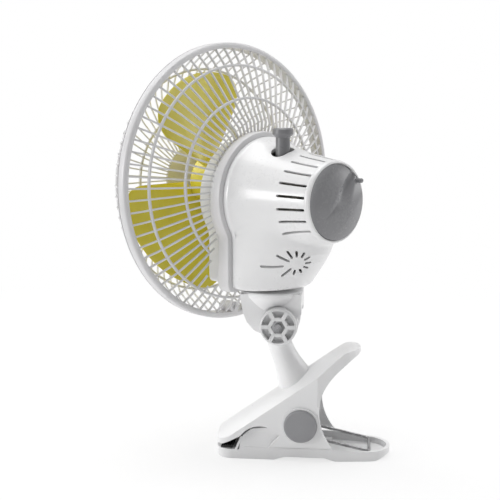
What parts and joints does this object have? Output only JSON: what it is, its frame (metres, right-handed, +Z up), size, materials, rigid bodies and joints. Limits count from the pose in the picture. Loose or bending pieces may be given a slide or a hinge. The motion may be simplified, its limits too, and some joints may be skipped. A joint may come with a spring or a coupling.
{
  "type": "clip fan",
  "caption": "Small clip-on fan: caged blade on an oscillating motor housing, tilting yoke and post on a sprung clamp that also stands on a table.",
  "frame": {"origin": "on the ground straight under the swivel axis, on the flat face of the clip's front foot", "axes": "+Z up along the swivel axis; the clip's jaws point to -Y and its handles to +Y; +X is the tilt knob's side"},
  "size_m": [0.1607, 0.1837, 0.2775],
  "materials": {
    "white_plastic": "glossy moulded",
    "pad_rubber": "ribbed, matt",
    "grey_plastic": "satin moulded",
    "knob_plastic": "satin moulded",
    "blade_plastic": "glossy olive yellow",
    "steel": "zinc plated",
    "spring_steel": "oiled spring wire",
    "lamination": "stacked sheet",
    "copper": "enamelled wire",
    "nylon": "natural nylon",
    "cast_metal": "die cast",
    "bronze": "sintered bronze",
    "lead_insulation": "flexible insulation"
  },
  "bodies": {
    "base": {"lower_lever": "white_plastic", "lower_pad": "pad_rubber", "torsion_spring": "spring_steel"},
    "upper": {"upper_lever": "white_plastic", "upper_pad": "pad_rubber", "post": "white_plastic", "post_screws": "steel", "pivot_pin": "steel", "pivot_caps": "grey_plastic"},
    "yoke": {"yoke": "white_plastic", "swivel_post": "steel", "swivel_washer": "steel", "swivel_nut": "steel", "tilt_bolt": "steel"},
    "tilt_lock": {"tilt_knob": "knob_plastic", "tilt_nut": "steel"},
    "link": {"crank_link": "steel"},
    "head": {"rear_guard": "white_plastic", "front_guard": "white_plastic", "guard_screw": "steel", "badge": "grey_plastic", "rear_housing": "white_plastic", "front_housing": "white_plastic", "housing_screws": "steel", "cord_inlet": "grey_plastic", "motor_front_bracket": "cast_metal", "motor_rear_bracket": "cast_metal", "motor_bearings": "bronze", "stator_core": "lamination", "stator_windings": "copper", "motor_screws": "steel", "gearbox_case": "nylon", "gearbox_cover": "nylon", "switch_body": "grey_plastic", "switch_leads": "lead_insulation"},
    "fan": {"motor_shaft": "steel", "rotor_core": "lamination", "fan_blade": "blade_plastic", "blade_cap": "blade_plastic"},
    "clutch": {"worm_wheel": "nylon", "clutch_spindle": "steel"},
    "crank": {"crank_gear": "nylon"},
    "speed_selector": {"speed_knob": "grey_plastic"},
    "pull_knob": {"oscillation_knob": "knob_plastic"}
  },
  "joints": [
    {"name": "clip_open", "type": "hinge", "parent": "base", "child": "upper", "pos_m": [0, 0.0211, 0.025], "axis": [-1, 0, 0], "range_deg": [0, 30], "stiffness_Nm_per_rad": 2, "springref_deg": -28.65, "deforming": ["torsion_spring"]},
    {"name": "tilt", "type": "hinge", "parent": "upper", "child": "yoke", "pos_m": [0, 0.0059, 0.091], "axis": [1, 0, 0], "range_deg": [-45, 35]},
    {"name": "tilt_lock_turn", "type": "hinge", "parent": "yoke", "child": "tilt_lock", "pos_m": [0.0196, 0.0059, 0.091], "axis": [1, 0, 0], "range_deg": [0, 180]},
    {"name": "oscillation", "type": "hinge", "parent": "yoke", "child": "head", "pos_m": [0, 0, 0.12], "axis": [0, 0, 1], "range_deg": [-2, 82]},
    {"name": "link_swing", "type": "hinge", "parent": "yoke", "child": "link", "pos_m": [-0.01, 0, 0.1375], "axis": [0, 0, 1], "range_deg": [-3, 83]},
    {"name": "fan_spin", "type": "hinge", "parent": "head", "child": "fan", "pos_m": [0, 0, 0.1825], "axis": [0.6428, 0.766, 0], "continuous": true},
    {"name": "clutch_turn", "type": "hinge", "parent": "head", "child": "clutch", "pos_m": [0.01859, 0.00816, 0.1825], "axis": [0, 0, 1], "continuous": true},
    {"name": "crank_turn", "type": "hinge", "parent": "head", "child": "crank", "pos_m": [0.0048, 0.01973, 0.1625], "axis": [0, 0, 1], "continuous": true},
    {"name": "speed_turn", "type": "hinge", "parent": "head", "child": "speed_selector", "pos_m": [0.03728, 0.04443, 0.1748], "axis": [0.6428, 0.766, 0], "range_deg": [0, 150]},
    {"name": "pull", "type": "slide", "parent": "head", "child": "pull_knob", "axis": [0, 0, 1], "range_m": [0, 0.006]}
  ],
  "couplings": [
    {"joint": "clutch_turn", "follows": "fan_spin", "ratio": 0.035714},
    {"joint": "crank_turn", "follows": "fan_spin", "ratio": -0.010204},
    {"joint": "link_swing", "follows": "oscillation", "ratio": 1}
  ]
}
